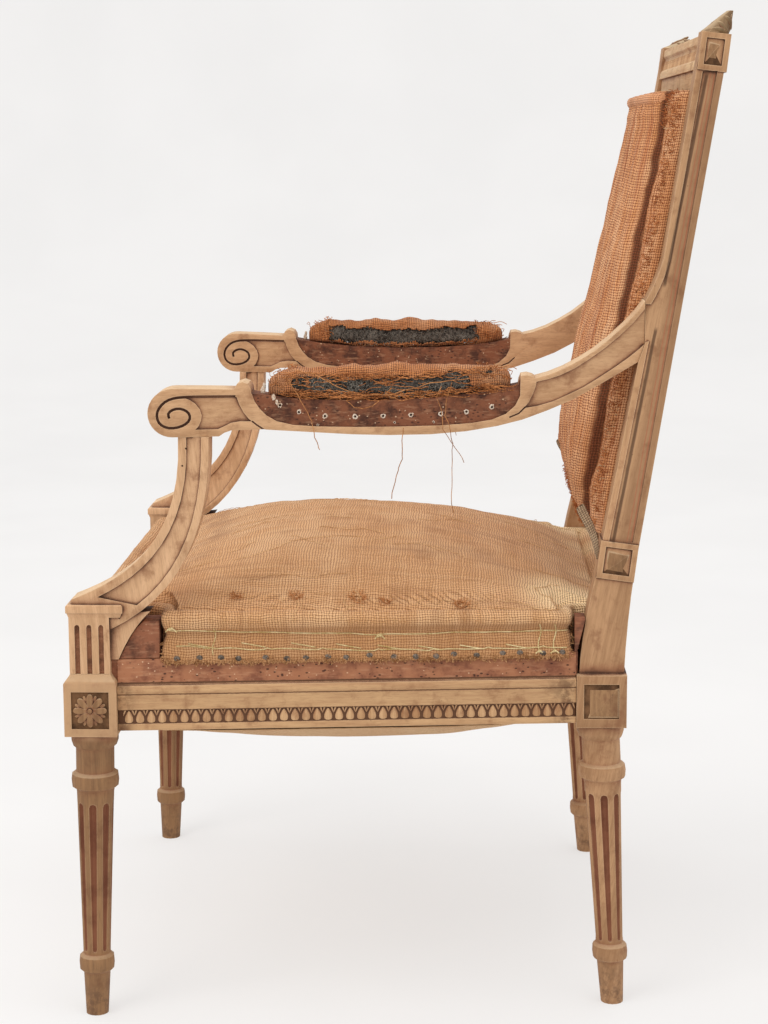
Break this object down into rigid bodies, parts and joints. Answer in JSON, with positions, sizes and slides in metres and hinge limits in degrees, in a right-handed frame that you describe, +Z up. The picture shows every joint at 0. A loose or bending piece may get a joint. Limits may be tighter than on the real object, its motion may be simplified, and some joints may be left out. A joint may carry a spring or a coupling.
{
  "type": "open armchair frame with stripped upholstery",
  "caption": "Open armchair with a carved wooden frame, fluted turned legs, scrolled arms, and burlap stuffing left bare over the seat, back and armrests.",
  "frame": {"origin": "on the floor, under the middle of the whole chair", "axes": "+Z up, +Y towards the back, +X to the sitter's left"},
  "size_m": [0.6488, 0.6554, 0.9973],
  "materials": {
    "beech": "stripped bare, with dark remains of old paint in the grooves",
    "rough_wood": "rough red-brown, full of tack holes",
    "burlap": "coarse open weave, sand brown",
    "rust_burlap": "coarse old weave, rust brown",
    "webbing": "woven jute strap",
    "spring_steel": "dull wire",
    "linen": "plain pale cloth"
  },
  "bodies": {
    "root": {"front_leg_left": "beech", "front_leg_right": "beech", "back_leg_left": "beech", "back_leg_right": "beech", "side_rail_left": "beech", "side_rail_right": "beech", "arm_support_left": "beech", "arm_support_right": "beech", "arm_left": "beech", "arm_right": "beech", "finial_left": "beech", "finial_right": "beech", "front_block_left": "rough_wood", "front_block_right": "rough_wood", "rear_block_left": "rough_wood", "rear_block_right": "rough_wood", "arm_pad_left": "rust_burlap", "arm_pad_right": "rust_burlap", "front_rail": "beech", "back_rail": "beech", "crest_rail": "beech", "lower_back_rail": "beech", "seat_cross_web_1": "webbing", "seat_long_web_1": "webbing", "back_upright_web_1": "webbing", "seat_cross_web_2": "webbing", "seat_long_web_2": "webbing", "back_upright_web_2": "webbing", "seat_cross_web_3": "webbing", "seat_long_web_3": "webbing", "back_upright_web_3": "webbing", "back_cross_web_1": "webbing", "back_cross_web_2": "webbing", "seat_spring_1": "spring_steel", "seat_spring_2": "spring_steel", "seat_spring_3": "spring_steel", "seat_spring_4": "spring_steel", "seat_spring_5": "spring_steel", "bottom_cloth": "linen", "seat_pad": "burlap", "back_pad": "rust_burlap"}
  },
  "joints": []
}
